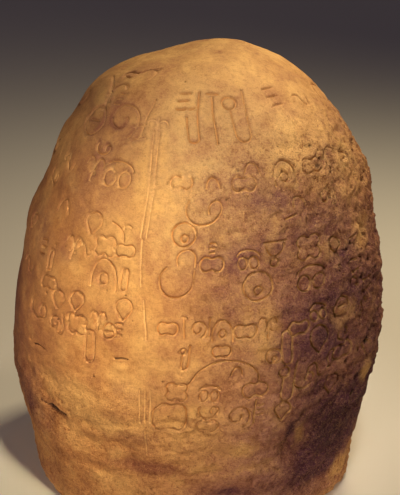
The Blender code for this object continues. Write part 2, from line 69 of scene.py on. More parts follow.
# Local swells and hollows: azimuth in degrees, height, reach and push outwards
SWELLS = (
    (73, .01, .05, .007), (40, .02, .08, -.008), (76, .11, .07, -.004), (-92, .905, .06, .003),
    (-88, .81, .05, .004), (47, .24, .095, -.013), (26, .3, .06, .005), (25, .42, .055, .004),
    (23, .53, .05, .003), (88, .72, .05, .003),
)  # fmt: skip
LUMP_PUSH = 0.0015  # of each wave of the broad unevenness all over
LUMP_PERIOD = 0.21
LUMP_WAVES = ((1, 0, 0.6, 1), (0, 1.3, -0.5, 2), (0.7, 0, 1.1, 0.3))  # x, y, z, phase

# The fine mesh: spacing of its points on the front and behind, and along a cut line
GRAIN = 0.0047
BACK_COARSER = 2
BACK_FROM = math.radians(86)
STATION = 0.0042
ROW_OFFSETS = (0, 0.45, 0.9, 1.3)  # rows of points beside a cut line, in half widths
NEAREST = 0.0008  # points closer than this become one

# Incised lines: half their width, and their depth
MARK_HALF = 0.0038
MARK_DEPTH = 0.0058
CUT_CURVE = 1.15  # power of the cut's cross-section, where 1 is a plain V
HALO = 2.6  # half widths that soot and painted shade reach beside a line
WANDER = 0.22  # half widths that a line strays from its course
WANDER_PERIOD = 0.03
RIGHT_AZIMUTHS = (0.2, 0.7)  # between these the marks grow wider and deeper, in radians
RIGHT_WIDER = 1.12
RIGHT_DEEPER = 1.4
STAFF_HALF = 0.0034
STAFF_DEPTH = 0.0024
ARC_STEP = 12  # about how far a round line turns at one point, in degrees
LINE_STEP = 0.02

# The staff's middle line, as height and azimuth in degrees
STAFF_PATH = (
    (.234, -15), (.39, -15.7), (.5, -16.5), (.6, -19), (.69, -20.5), (.872, -22.3),
)  # fmt: skip
# The staff's lines: lower end, upper end, and how far right of the middle line
STAFF_LINES = (
    (.69, .872, -.0055), (.69, .872, .0055), (.6, .686, -.002), (.496, .574, .002), (.312, .388, -.011),
    (.312, .388, 0), (.312, .388, .011), (.234, .294, 0),
)  # fmt: skip
STAFF_HEAD_FOOT = 0.876
STAFF_HEAD_SIZE = 0.026

# The marks of each row: shape, azimuth of its middle in degrees, height of its foot, its own height
ROWS = (
    (
        ("sweep", -62, .893, .07), ("leaf", -57, .847, .065), ("crest", -48, .946, .035),
        ("coil", -39, .852, .093), ("ticks", -12, .91, .04), ("hook", -6, .857, .108),
        ("stem", 5, .857, .106), ("prong", 18, .857, .106), ("ticks", 40, .906, .048),
        ("wave", 58, .898, .03),
    ),
    (
        ("wave", -61, .775, .03), ("fern", -47, .773, .045), ("owl", -36, .771, .051),
        ("bean", -10, .777, .028), ("crest", 2, .779, .023), ("ram", -1, .716, .06),
        ("bean", 14, .773, .03), ("crest", 18, .798, .027), ("arch", 31, .779, .048),
        ("bean", 44, .79, .03), ("fern", 52, .783, .047), ("coil", 47, .724, .047),
        ("leaf", 63, .777, .042),
    ),
    (
        ("capsule", -53, .589, .043), ("bean", -52, .551, .03), ("fern", -45, .626, .046),
        ("wave", -40, .641, .023), ("loop", -39, .68, .046), ("lobes", -33, .646, .04),
        ("arch", -32, .587, .055), ("sweep", -29, .68, .033), ("bean", -26, .65, .026),
        ("capsule", -25, .586, .045), ("eye", -7, .677, .047), ("drop", -8, .581, .096),
        ("bean", 3, .631, .03), ("ticks", 3, .665, .02), ("owl", 15, .633, .038), ("eye", 18, .572, .057),
        ("festoon", 24, .633, .052), ("lobes", 36, .638, .047), ("owl", 36, .577, .052),
        ("loop", 46, .634, .036), ("bar", 55, .646, .015), ("bean", 54, .586, .028),
    ),
    (
        ("ram", -56, .48, .044), ("loop", -47, .52, .041), ("coil", -47, .47, .045),
        ("loop", -40, .528, .041), ("lobes", -39, .482, .042), ("fern", -32, .502, .036),
        ("capsule", -34, .433, .066), ("leaf", -28, .487, .034), ("loop", -24, .528, .045),
        ("ticks", -25, .498, .025), ("bean", -10, .507, .027), ("stem", -5, .503, .041),
        ("prong", -4, .438, .048), ("coil", 0, .5, .043), ("arch", 7, .496, .044), ("bean", 14, .5, .03),
        ("fern", 21, .496, .043), ("eye", 23, .443, .028), ("capsule", 27, .438, .066),
        ("bean", 31, .493, .028), ("owl", 38, .512, .034), ("loop", 38, .441, .062),
        ("leaf", 47, .505, .044), ("fern", 57, .47, .044),
    ),
    (
        ("lobes", -6, .367, .041), ("pot", -8, .297, .066), ("canopy", 7, .402, .052),
        ("owl", 4, .367, .036), ("ram", 4, .327, .036), ("bean", 4, .295, .028), ("crest", 12, .42, .02),
        ("bean", 18, .371, .033), ("coil", 14, .302, .062), ("prong", 28, .355, .087),
        ("loop", 27, .308, .044), ("ram", 33, .376, .04), ("wave", 38, .388, .036),
        ("capsule", 43, .399, .041), ("bean", 48, .408, .034), ("loop", 45, .329, .05),
        ("fern", 58, .372, .044),
    ),
)  # fmt: skip
# Small marks between the rows, in the same terms
LOOSE_MARKS = (
    ("wave", -56, .908, .02), ("ticks", -48, .905, .026), ("ram", -46, .822, .03),
    ("bar", -31, .872, .016), ("bar", -30, .85, .016), ("bean", -60, .945, .02), ("crest", -54, .7, .03),
    ("ram", -68, .74, .032), ("loop", -70, .64, .032), ("wave", -66, .56, .026),
    ("ticks", -58, .61, .032), ("bean", 60, .53, .026), ("wave", 53, .555, .024), ("ram", 48, .45, .03),
    ("bar", 30, .715, .014), ("crest", 34, .735, .024), ("bean", 7, .462, .024), ("ticks", 20, .33, .024),
)  # fmt: skip
SIZE_RANGE = (0.97, 1.03)
LEAN_RANGE = (-0.07, 0.07)

# The plainer marks behind: their shapes, their spacing, where they start and end, and for each row
# the height of their foot and their own height
BACK_MARKS = "wave ram bar fern crest".split()
BACK_SPACE = 0.105
BACK_AZIMUTHS = (74, 286)
BACK_ROWS = ((0.87, 0.06), (0.775, 0.044), (0.64, 0.048), (0.49, 0.046), (0.35, 0.046))
SEAM_GAP = 10  # degrees left clear at the middle of the back
SEED = 5

# Damage, as lines of (azimuth in degrees, height) with half a width, a depth and how dark it is with dirt
# and painted shade
SCARS = (
    (((-52.5, .295), (-49, .29), (-47, .288)), .004, .005, .5),
    (((-48.5, .29), (-46, .286), (-43.5, .281)), .0095, .02, 1),
    (((-40, .275), (-37, .255), (-32, .228)), .015, .0016, .1),
    (((-56.5, .418), (-54.5, .422), (-53, .422), (-51, .42)), .0022, .0046, .6),
    (((-25.5, .449), (-23.5, .452), (-21.5, .451)), .003, .0046, .55),
    (((63.5, .438), (61, .424), (59.5, .412)), .0055, .014, 1),
    (((57, .3), (55.5, .282), (54, .266)), .006, .007, .8),
    (((37, .309), (34, .297), (31.5, .27), (30, .235), (29.3, .2)), .0095, .0062, .22),
    (((36.5, .935), (38.5, .915), (41.5, .89), (43, .872)), .0036, .0014, 0),
    (((-70, .012), (-66, .016), (-63, .022)), .003, .006, .8),
)  # fmt: skip
# Small dents beside them: azimuth in degrees, height, reach and push outwards
DENTS = (
    (-23.5, .434, .015, .0034), (-45, .262, .022, -.005), (-50, .24, .03, -.006), (-36, .3, .03, .003),
    (35, .278, .013, .0045), (34, .245, .013, .005), (33.5, .21, .013, .0045), (44, .33, .016, -.004),
    (36, .845, .02, -.0025), (66, .285, .045, .011), (88, .94, .08, .008), (82, .715, .06, .006),
)  # fmt: skip

# The flake scar low on the right: its upper edge, and how the stone drops beyond that edge
FLAKE_EDGE = (
    (43, .322), (38.5, .31), (34.5, .292), (31.8, .262), (30.2, .225), (29.6, .185), (30, .15),
)  # fmt: skip
FLAKE_DROP = 0.011
FLAKE_STEP = 0.008
FLAKE_REACH = 0.085

# Weathered pits: those of the solid on the right flank, then smaller ones there and all over
PIT_COUNT = 16
PIT_AZIMUTHS = (52, 84)
PIT_HEIGHTS = (0.47, 0.84)
PIT_RADII = (0.004, 0.007)
FLANK_PITS = 120
FLANK_AZIMUTHS = (44, 96)
FLANK_HEIGHTS = (0.34, 0.84)
FLANK_RADII = (0.0024, 0.0062)
LOOSE_PITS = 90
LOOSE_AZIMUTHS = (-170, 170)
LOOSE_HEIGHTS = (0.03, 0.97)
LOOSE_RADII = (0.002, 0.0036)
PIT_RINGS = ((0, 1), (0.55, 6), (1.1, 8))  # of points: share of the radius and count
PIT_DEEPNESS = 1.3  # depth over radius
# How dark the pits are made: dirt and painted shade in them
PIT_DIRT_AND_SHADE = 0.6

# The worn skin: the period, octaves and seed of each unevenness, and its push
BROAD_WEAR = (0.09, 3, 1)
BROAD_PUSH = 0.0017
DENT_WEAR = (0.048, 4, 4)
DENT_PUSH = 0.0022
SMALL_WEAR = (0.02, 3, 2)
SMALL_PUSH = 0.0006
FLANK_WEAR = (0.028, 4, 3)
FLANK_PUSH = 0.0066
SMOOTH_SIDE = 0.95  # times the push on the smooth stone, and so much more on the coarse
COARSE_SIDE = 2.35

# Places with a look of their own: azimuth in degrees, height, half the width and height, strength
PLACES = {
    "patina_and_shade": (  # a dark skin, and painted shade on the right where the light falls off and along the left edge
        (-46, .84, .055, .08, .5), (-46, .75, .06, .045, .4), (-63, .66, .035, .05, .45),
        (-47, .63, .03, .02, .35), (-86, .45, .105, .23, .76), (-60, .26, .05, .07, .6),
        (-64, .06, .06, .05, .45), (3, .77, .06, .04, .36), (14, .815, .035, .02, .35),
        (50, .8, .05, .035, .2), (68, .84, .06, .05, .2), (28, .675, .06, .03, .35),
        (50, .69, .04, .04, .25), (20, .76, .06, .035, .58), (29, .735, .07, .045, .33),
        (40, .71, .055, .045, .45), (10, .66, .08, .05, .6), (26, .62, .05, .04, .35),
        (-2, .66, .04, .06, .25), (2, .56, .06, .06, .5), (11, .57, .04, .04, .4),
        (38, .52, .085, .1, .7), (32, .44, .06, .09, .36), (24, .23, .055, .06, .24),
        (26, .4, .035, .08, .3), (21, .7, .03, .03, .15), (46, .64, .04, .03, .35),
        (50, .59, .06, .08, .25), (57, .42, .05, .07, .25), (70, .27, .06, .07, 1),
        (31, .255, .014, .045, .6), (50, .25, .09, .1, 1), (36, .3, .07, .06, .28),
        (44, .13, .09, .06, 1), (40, .19, .05, .03, .3), (13, .12, .08, .025, .75),
        (80, .55, .09, .33, .5), (110, .5, .2, .4, .4), (26, .545, .03, .03, .3), (8, .45, .04, .03, .42),
        (22, .475, .03, .03, .3), (38, .365, .04, .03, .35), (50, .19, .04, .03, .35),
        (34, .095, .06, .025, .12), (0, .71, .03, .02, .3), (44, .44, .032, .03, .5),
        (-22, .385, .03, .025, .32), (11, .13, .03, .015, .3), (56, .545, .03, .03, .15),
        (13, .635, .04, .035, .2),
    ),
    "hollow_shade": (  # painted shade in the darkest hollows
        (48, .22, .058, .07, .72), (30.6, .25, .009, .04, .6), (33.5, .29, .016, .012, .45),
        (66, .265, .025, .035, .6), (40, .478, .022, .024, .45), (62, .43, .016, .04, .5),
    ),
    "warm": (  # redder stone
        (0, .12, .5, .2, .65), (-70, .45, .16, .26, .7), (70, .45, .16, .26, .95),
        (-74, .78, .1, .12, .6),
    ),
    "rose": (  # a rosy cast low on the right
        (38, .27, .19, .2, 1.1), (24, .08, .16, .08, .8), (34, .56, .11, .12, .7),
    ),
    "haze": (  # a pale bloom on the upper middle
        (2, .82, .15, .15, .9), (4, .67, .12, .07, .45),
    ),
    "stain": (  # brown stains
        (-20, .274, .05, .02, .7), (-18, .194, .06, .022, .9), (0, .245, .04, .014, .5),
        (-7, .194, .035, .018, .7), (-30, .55, .06, .016, .3), (-52, .225, .04, .012, .5),
    ),
    "pale": (  # bare pale stone, and painted highlights: floor light on the foot's bevel low on the right, a lit strip on the right edge, light at the top right
        (24, .71, .012, .04, .5), (21, .665, .014, .035, .6), (20, .51, .028, .06, .85),
        (12, .955, .07, .02, .5), (42, .875, .06, .025, .45), (60, .078, .03, .03, 1.2),
        (34.5, .25, .014, .04, .8), (61, .34, .016, .035, 1.1), (47, .505, .03, .035, .7),
        (-24, .75, .07, .08, .48), (-22, .115, .05, .03, .5), (60, .65, .03, .04, .6),
        (43, .65, .04, .03, .45), (45, .77, .06, .03, .4), (16, .24, .03, .02, .5),
        (0, .345, .05, .02, .55), (4, .19, .03, .02, .6), (-29, .51, .02, .02, .8),
        (-57, .13, .03, .04, .5), (31, .805, .035, .022, .9), (62, .8, .03, .03, .8),
        (-60, .905, .03, .03, .6), (-72, .8, .04, .06, .6), (-60, .03, .06, .02, .5),
        (-23.5, .437, .016, .01, .7), (-44, .36, .06, .035, .45), (-36, .33, .05, .05, .45),
        (-27, .29, .07, .03, .75), (0, .31, .06, .03, .3), (2, .26, .1, .07, .5),
        (-28, .15, .09, .035, .5),
    ),
    "soot": (  # soot in the cut lines, and painted shade beside them
        (-42, .865, .09, .06, .9), (12, .79, .06, .035, .7), (44, .56, .1, .3, .5),
    ),
}  # fmt: skip

# Colours of the stone
TAN = (0.62, 0.335, 0.118, 1)
OCHRE = (0.52, 0.25, 0.08, 1)
RUST = (0.6, 0.262, 0.092, 1)
BROWN = (0.33, 0.125, 0.058, 1)
CREAM = (0.79, 0.46, 0.16, 1)
# Dust in the cut lines, and painted highlight on their lit walls
DUST_AND_HIGHLIGHT = (0.8, 0.48, 0.19, 1)
UMBER = (0.24, 0.086, 0.06, 1)
# The dark skin, which also paints shade on the right and at the left edge
PATINA_AND_SHADE = (0.113, 0.035, 0.058, 1)
SHADE = (0.052, 0.015, 0.029, 1)
STAIN = (0.3, 0.105, 0.054, 1)
HAZE = (0.59, 0.38, 0.168, 1)
ROSE = (0.47, 0.235, 0.195, 1)
SPECK = (0.29, 0.25, 0.38, 1)
# Dirt, and painted shade in scars and pits
DIRT_AND_SHADE = (0.045, 0.026, 0.024, 1)

# The stone's noises: scale, detail, roughness, distortion
NOISES = {
    "broad": (5.5, 4, 0.55, 0), "medium": (14, 7, 0.62, 0.15), "patches": (24, 6, 0.62, 0.2),
    "mottle": (34, 8, 0.74, 0.15), "lumps": (62, 3, 0.5, 0), "fine": (120, 4, 0.72, 0),
    "grain": (400, 2, 0.6, 0),
}  # fmt: skip
# Masks whose edge is broken up: the noise that moves it, and how far
RAGGED = {
    "patina_and_shade": ("mottle", 0.37), "stain": ("mottle", 0.35),
    "pale": ("patches", 0.25), "hollow_shade": ("mottle", 0.3),
}  # fmt: skip
# The layers of the stone's colour: the noise or mask that shows one, between which of its values
# it comes in, its greatest share, its colour, and how that is blended
BARE_LAYERS = (
    ("broad", 0.36, 0.64, 1, OCHRE),
    ("warm", 0, 1, 1, RUST),
    ("haze", 0, 1, 0.75, HAZE),
    ("rose", 0, 1, 0.8, ROSE),
    ("medium", 0.5, 0.62, 0.5, BROWN),
    ("medium", 0.48, 0.38, 0.45, CREAM),
)
SKIN_AND_SHADE_EDGE = (0.05, 0.97, 0.96)  # the same for the dark skin and its painted shade over them
# Over them: stains, pale stone with painted highlights, brown patches, soot with painted shade beside the
# cut lines, painted shade in hollows, dust with painted highlights in the cut lines, dirt with painted
# shade in scars and pits
UPPER_LAYERS = (
    ("ragged stain", 0.15, 0.85, 0.9, STAIN),
    ("ragged pale", 0.2, 0.8, 0.75, CREAM),
    ("coarse patches", 0, 1, 0.44, BROWN, "MULTIPLY"),
    ("soot_and_shade", 0.05, 0.65, 0.7, UMBER),
    ("ragged hollow_shade", 0.1, 0.9, 0.9, SHADE),
    ("dust_and_highlight", 0, 1, 1, DUST_AND_HIGHLIGHT),
    ("dirt_and_shade", 0.15, 0.7, 0.95, DIRT_AND_SHADE),
)
GRAIN_LAYERS = (
    ("fine", 0.49, 0.3, 0.95, BROWN, "MULTIPLY"),
    ("clean fine", 0, 1, 0.45, CREAM),
    ("grain", 0.44, 0.28, 0.88, SPECK, "MULTIPLY"),
    ("clean grain", 0, 1, 0.76, CREAM),
)
SIDE_GRAINS = (0.36, 1)  # how much of the grain's colour shows on the smooth and the rough stone
SIDE_BUMPS = (0.32, 1.5)  # and how much of its height
GRAIN_BUMP = 0.5  # heights of the grain and lumps, where the fine noise's is 1
LUMP_BUMP = 1.1
BUMP_STRENGTH = 0.9
BUMP_HEIGHT = 0.005
ROUGHNESSES = (0.72, 0.92)
SHEEN = 0.16
SHARP_ANGLE = math.radians(75)

# The floor, and the lights: place, target, size, power, colour and how far they spread, in degrees
FLOOR_HALF = 14
FLOOR_COLOUR = (0.74, 0.69, 0.61, 1)
FLOOR_ROUGHNESS = 0.9
LIGHTS = (
    ("left pool", (0.39, -1.41, 1.98), (-0.24, -0.3, 0.42), 0.22, 0.83, (1, 0.86, 0.55), 25),
    ("top pool", (0.35, -1.15, 2.78), (0.15, -0.3, 0.93), 0.22, 0.82, (1, 0.93, 0.8), 24),
    ("back", (0.96, 1.14, 2.68), (0, 0, 0.6), 0.5, 47, (1, 0.86, 0.55), 180),
    ("rim", (2, 0.35, 1.5), (0.3, 0, 0.4), 0.4, 9.5, (1, 0.74, 0.5), 180),
    ("kicker", (1.1, -1.6, 0.14), (0.31, -0.22, 0.06), 0.12, 0.022, (1, 0.82, 0.66), 10),
    ("fill", (-0.9, -2.4, 0.8), (0, 0, 0.45), 0.6, 21, (1, 0.8, 0.66), 180),
)
WORLD_COLOUR = (0.87, 0.74, 0.92, 1)
WORLD_STRENGTH = 0.06

# The camera
CAMERA_PLACE = (0.0074, -1.8918, 1.352)
CAMERA_PITCH = 23.3  # degrees down
CAMERA_LENS = 66.4
CAMERA_SENSOR = 36


def section_at(station):
    """Height, left edge and right edge at a station, which counts the sections from the foot."""
    below = 2 * SECTIONS[0] - SECTIONS[1]
    beyond = SECTIONS[-2][[0, 2, 1]]
    knots = np.vstack((below, SECTIONS, beyond))
    index = np.clip(np.floor(station).astype(int), 0, len(SECTIONS) - 2)
    u = (station - index)[..., None]
    a, b, c, d = (knots[index + step] for step in range(4))
    bend = (2 * a - 5 * b + 4 * c - d) * u**2 + (3 * b - a - 3 * c + d) * u**3
    return b + 0.5 * ((c - a) * u + bend)


def meridian():
    """Stations, heights, mean radii, climbs along the surface and levels, from the foot to the cap."""
    station = np.linspace(0, len(SECTIONS) - 1, 3000)
    height, left, right = section_at(station).T
    radius = 0.5 * (right - left) * math.sqrt(DEPTH_RATIO)
    steps = np.hypot(np.diff(radius), np.diff(height))
    middle = 0.5 * (radius[1:] + radius[:-1])
    climb = np.concatenate(((0,), np.cumsum(steps)))
    level = np.concatenate(((0,), np.cumsum(steps / np.maximum(middle, 1e-6))))
    below_cap = (radius >= CAP_RADIUS) | (height < 0.5)
    return tuple(values[below_cap] for values in (station, height, radius, climb, level))


STATIONS, HEIGHTS, RADII, CLIMBS, LEVELS = meridian()
TOP_LEVEL = LEVELS[-1]


def radius_at(level):
    return np.interp(level, LEVELS, RADII)


def level_at_height(height):
    return np.interp(height, HEIGHTS, LEVELS)


def body_point(azimuth, level):
    """The plain egg's point at a place."""
    height, left, right = section_at(np.interp(level, LEVELS, STATIONS)).T
    half_width = 0.5 * (right - left)
    across = np.abs(np.sin(azimuth)) / half_width
    along = np.abs(np.cos(azimuth)) / (DEPTH_RATIO * half_width)
    reach = (across**SQUARENESS + along**SQUARENESS) ** (-1 / SQUARENESS)
    x = 0.5 * (left + right) + reach * np.sin(azimuth)
    return np.column_stack((x, -reach * np.cos(azimuth), height))


def body_normal(azimuth, level):
    """The outward direction of the plain egg at a place."""
    step = 1e-3
    low = np.clip(level - 0.5 * step, 0, TOP_LEVEL - step)
    round_it = body_point(azimuth + step, level) - body_point(azimuth - step, level)
    up_it = body_point(azimuth, low + step) - body_point(azimuth, low)
    normal = np.cross(round_it, up_it)
    return normal / np.linalg.norm(normal, axis=1, keepdims=True)


def arc(x, y, wide, tall, start, end):
    """Part of an ellipse, with half-axes wide and tall, from one angle in degrees to another."""
    count = max(2, round(abs(end - start) / ARC_STEP))
    angles = np.radians(np.linspace(start, end, count + 1))
    return np.column_stack((x + wide * np.cos(angles), y + tall * np.sin(angles)))


def spiral(x, y, outer, inner, start, end):
    """A round line that closes in from its outer radius to its inner one."""
    circle = arc(0, 0, 1, 1, start, end)
    radii = np.linspace(outer, inner, len(circle))
    return radii[:, None] * circle + (x, y)


def line(*points):
    return np.array(points, float)


def joined(*curves, closed=False):
    """One line through several curves, each starting where the last one ends or a step away."""
    points = np.vstack(curves)
    if closed:
        points = np.vstack((points, points[:1]))
    gaps = np.linalg.norm(np.diff(points, axis=0), axis=1)
    return points[np.concatenate(((True,), gaps > 1e-3))]


def ring(x, y, wide, tall):
    return joined(arc(x, y, wide, tall, 90, 450)[:-1], closed=True)


# The shapes of the marks
MARKS = {
    "capsule": [  # a long narrow loop, upright
        joined(arc(0, 0.86, 0.15, 0.14, 0, 180), arc(0, 0.14, 0.15, 0.14, 180, 360), closed=True),
    ],
    "stem": [line((0, 0), (0, 0.93)), line((-0.1, 1), (0.12, 0.97))],  # with a short stroke across
    "hook": [  # a tall stem that turns back up at its foot, as a short one
        joined(line((0.1, 1)), arc(0, 0.06, 0.1, 0.06, 360, 180), line((-0.1, 0.48))),
        line((-0.06, 0.64), (0.04, 0.66)),
    ],
    "prong": [  # a tall stem that turns back up at its foot, to a small ring
        joined(line((0.14, 1)), arc(0, 0.14, 0.14, 0.14, 360, 180), line((-0.14, 0.6))),
        ring(-0.14, 0.76, 0.13, 0.13),
    ],
    "ticks": [line((-0.26, y), (0.24, y + 0.05)) for y in (0.05, 0.5, 0.95)],
    "bar": [line((-0.8, 0.3), (0.8, 0.7))],
    "crest": [arc(0, 0, 0.58, 1, 172, 8)],
    "sweep": [arc(-0.9, -0.1, 1.3, 1.1, 5, 75), arc(0.42, 0.72, 0.22, 0.18, 200, 20)],
    "leaf": [  # two curves that meet in points, with a rib between them
        arc(0, 0.25, 0.45, 0.7, 175, 15), arc(-0.05, 0.6, 0.48, 0.6, 195, 345),
        line((-0.2, 0.45), (0.18, 0.48)),
    ],
    "wave": [joined(arc(-0.36, 0.5, 0.36, 0.5, 180, 0), arc(0.36, 0.5, 0.36, 0.5, 180, 360))],
    "coil": [  # a curl that winds in, with a leg beside it
        spiral(-0.08, 0.45, 0.45, 0.12, -60, 385),
        joined(line((0.46, 1), (0.46, 0.2)), arc(0.32, 0.2, 0.14, 0.16, 0, -90)),
    ],
    "fern": [  # a stem between two curls that open downwards
        line((0, 0), (0.02, 0.75)), arc(-0.24, 0.64, 0.2, 0.36, -60, 170),
        arc(0.27, 0.64, 0.2, 0.36, 240, 10),
    ],
    "eye": [ring(0, 0.5, 0.54, 0.5), ring(0.03, 0.34, 0.15, 0.17)],
    "owl": [  # two small rings below one brow
        ring(-0.31, 0.32, 0.25, 0.32), ring(0.31, 0.33, 0.25, 0.32), arc(0, 0.62, 0.62, 0.38, 168, 12),
    ],
    "bean": [  # a closed line with two lobes
        joined(arc(-0.4, 0.5, 0.42, 0.48, 50, 310), arc(0.4, 0.5, 0.42, 0.48, 230, 490), closed=True),
    ],
    "lobes": [  # a closed line with four
        joined(
            arc(0.28, 0.74, 0.26, 0.26, -65, 155), arc(-0.28, 0.74, 0.26, 0.26, 25, 245),
            arc(-0.28, 0.26, 0.26, 0.26, 115, 335), arc(0.28, 0.26, 0.26, 0.26, 205, 425), closed=True,
        ),
    ],
    "loop": [joined(arc(0, 0.62, 0.38, 0.38, -25, 205), line((0, 0)), closed=True)],
    "pot": [  # a wide closed line, square at its shoulders and dented below
        joined(
            arc(-0.28, 0.36, 0.3, 0.36, 170, 285), line((0.02, 0.08)),
            arc(0.3, 0.36, 0.28, 0.36, 255, 370),
            line((0.56, 0.8), (0.4, 0.97), (0.08, 0.9), (-0.22, 0.94), (-0.5, 0.74)), closed=True,
        ),
    ],
    "arch": [arc(0, 0.15, 0.5, 0.85, 192, -12), ring(0, 0.34, 0.18, 0.2)],
    "canopy": [joined(line((-1.75, -0.04), (-1.2, 0.06)), arc(0.25, 0.1, 1.32, 0.9, 165, 0))],
    "ram": [joined(arc(0, 0.5, 0.58, 0.5, 150, 360), arc(0.37, 0.5, 0.21, 0.26, 0, 215))],
    "festoon": [  # a swag below a bar, with a small ring hung from it
        line((-0.46, 0.96), (0.46, 1)), arc(0, 0.9, 0.38, 0.48, 180, 360), ring(0, 0.17, 0.16, 0.17),
    ],
    "drop": [joined(arc(0, 0.35, 0.37, 0.35, 130, 375), arc(0.15, 0.8, 0.2, 0.2, 0, 215))],
}  # fmt: skip


def place_curve(curve, azimuth, height, size):
    """A curve in a mark's own plane, laid on the surface with that plane's origin at a place."""
    climb = np.interp(height, HEIGHTS, CLIMBS) + size * curve[:, 1]
    level = np.interp(climb, CLIMBS, LEVELS)
    return np.column_stack((azimuth + size * curve[:, 0] / radius_at(level), level))


def place_mark(name, degrees, foot, size, chance):
    """The incised lines of one mark."""
    own_size = size * chance.uniform(*SIZE_RANGE)
    lean = chance.uniform(*LEAN_RANGE)
    lines = []
    for curve in MARKS[name]:
        x, y = curve.T
        leaning = np.column_stack((x + lean * (y - 0.5), y))
        lines.append(place_curve(leaning, math.radians(degrees), foot, own_size))
    return lines


def staff_azimuth(height):
    heights, azimuths = np.transpose(STAFF_PATH)
    return np.radians(np.interp(height, heights, azimuths))


def back_marks(index, foot, size, chance):
    """The incised lines of one row's plainer marks behind."""
    start, end = BACK_AZIMUTHS
    radius = radius_at(level_at_height(foot + 0.5 * size))
    count = int(math.radians(end - start) * radius / BACK_SPACE)
    lines = []
    for step in range(count):
        degrees = start + (step + 0.5) * (end - start) / count
        if abs(degrees - 180) > SEAM_GAP:
            name = BACK_MARKS[(step + 2 * index) % len(BACK_MARKS)]
            turned = degrees if degrees < 180 else degrees - 360
            lines += place_mark(name, turned, foot, size, chance)
    return lines


def staff_lines():
    """The upright lines of the staff and its curled head."""
    lines = []
    for low, high, offset in STAFF_LINES:
        count = math.ceil((high - low) / LINE_STEP)
        heights = np.linspace(low, high, count + 1)
        level = level_at_height(heights)
        azimuth = staff_azimuth(heights) + offset / radius_at(level)
        lines.append(np.column_stack((azimuth, level)))
    left = arc(-0.42, 0.35, 0.36, 0.36, -40, 200)
    right = arc(0.42, 0.35, 0.36, 0.36, 220, -20)
    middle = staff_azimuth(STAFF_HEAD_FOOT)
    for curve in (line((0, 0), (0, 0.9)), left, right):
        lines.append(place_curve(curve, middle, STAFF_HEAD_FOOT, STAFF_HEAD_SIZE))
    return lines


def place_path(path):
    """A path given as azimuths in degrees and heights, as places."""
    azimuths, heights = np.transpose(path)
    return np.column_stack((np.radians(azimuths), level_at_height(heights)))


def fractal(points, period, octaves, seed):
    """Smooth noise, mostly between -1 and 1, whose broadest bumps are a period apart."""
    shift = Vector((3.1 * seed, 5.7 * seed, 7.9 * seed))
    scaled = (points / period).tolist()
    return np.array([noise.fractal(Vector(point) + shift, 1.0, 2.0, octaves) for point in scaled])


def is_closed(places):
    return bool(np.allclose(places[0], places[-1]))


def even(places):
    """A line's points set a station apart."""
    steps = np.linalg.norm(np.diff(places, axis=0), axis=1)
    steps *= radius_at(0.5 * (places[1:, 1] + places[:-1, 1]))
    along = np.concatenate(((0,), np.cumsum(steps)))
    count = max(2, math.ceil(along[-1] / STATION))
    wanted = np.linspace(0, along[-1], count + 1)
    return np.column_stack([np.interp(wanted, along, column) for column in places.T])


def hand_cut(places, half, seed):
    """A line's points moved aside a little, as a chisel wanders."""
    radius = radius_at(places[:, 1])[:, None]
    spots = np.column_stack((places * radius, np.zeros(len(places))))
    wander = np.column_stack([fractal(spots, WANDER_PERIOD, 2, seed + part) for part in (0.0, 0.37)])
    moved = places + WANDER * half * wander / radius
    if is_closed(places):
        moved[-1] = moved[0]
    return moved


def grooves():
    """Every cut line of the stone, as (places, half a width, depth), with the scars last."""
    chance = random.Random(SEED)
    cuts = [(even(places), STAFF_HALF, STAFF_DEPTH) for places in staff_lines()]
    lines = []
    for row in ROWS:
        for mark in row:
            lines += place_mark(*mark, chance)
    for index, (foot, size) in enumerate(BACK_ROWS):
        lines += back_marks(index, foot, size, chance)
    for mark in LOOSE_MARKS:
        lines += place_mark(*mark, chance)
    for places in lines:
        share = np.interp(places[:, 0].mean(), RIGHT_AZIMUTHS, (0, 1))
        half = MARK_HALF * (1 + (RIGHT_WIDER - 1) * share)
        depth = MARK_DEPTH * (1 + (RIGHT_DEEPER - 1) * share)
        cuts.append((hand_cut(even(places), half, 1.0), half, depth))
    cuts += [(even(place_path(path)), half, depth) for path, half, depth, _ in SCARS]
    return cuts


def scattered(chance, count, azimuths, heights, radii):
    """Pits at random places within limits, as (place, radius)."""
    found = []
    for _ in range(count):
        azimuth = math.radians(chance.uniform(*azimuths))
        level = level_at_height(chance.uniform(*heights))
        found.append((np.array((azimuth, level)), chance.uniform(*radii)))
    return found


def pits():
    """Weathered pits, as (place, radius)."""
    found = scattered(random.Random(SEED), PIT_COUNT, PIT_AZIMUTHS, PIT_HEIGHTS, PIT_RADII)
    chance = random.Random(SEED + 1)
    found += scattered(chance, FLANK_PITS, FLANK_AZIMUTHS, FLANK_HEIGHTS, FLANK_RADII)
    return found + scattered(chance, LOOSE_PITS, LOOSE_AZIMUTHS, LOOSE_HEIGHTS, LOOSE_RADII)


def directions(places):
    """The unit direction of a line at each of its points, in azimuth and level."""
    ahead = np.diff(places, axis=0)
    ahead /= np.linalg.norm(ahead, axis=1, keepdims=True)
    first, last = (-1, 0) if is_closed(places) else (0, -1)
    ahead = np.vstack((ahead[first], ahead, ahead[last]))
    mean = ahead[1:] + ahead[:-1]
    return mean / np.maximum(np.linalg.norm(mean, axis=1, keepdims=True), 1e-9)


def distances(points, places):
    """How far each point is from a line, in azimuth and level."""
    start = places[:-1]
    step = places[1:] - start
    along = np.einsum("psk,sk->ps", points[:, None] - start, step) / (step**2).sum(1)
    nearest = start + np.clip(along, 0, 1)[..., None] * step
    return np.linalg.norm(points[:, None] - nearest, axis=2).min(axis=1)


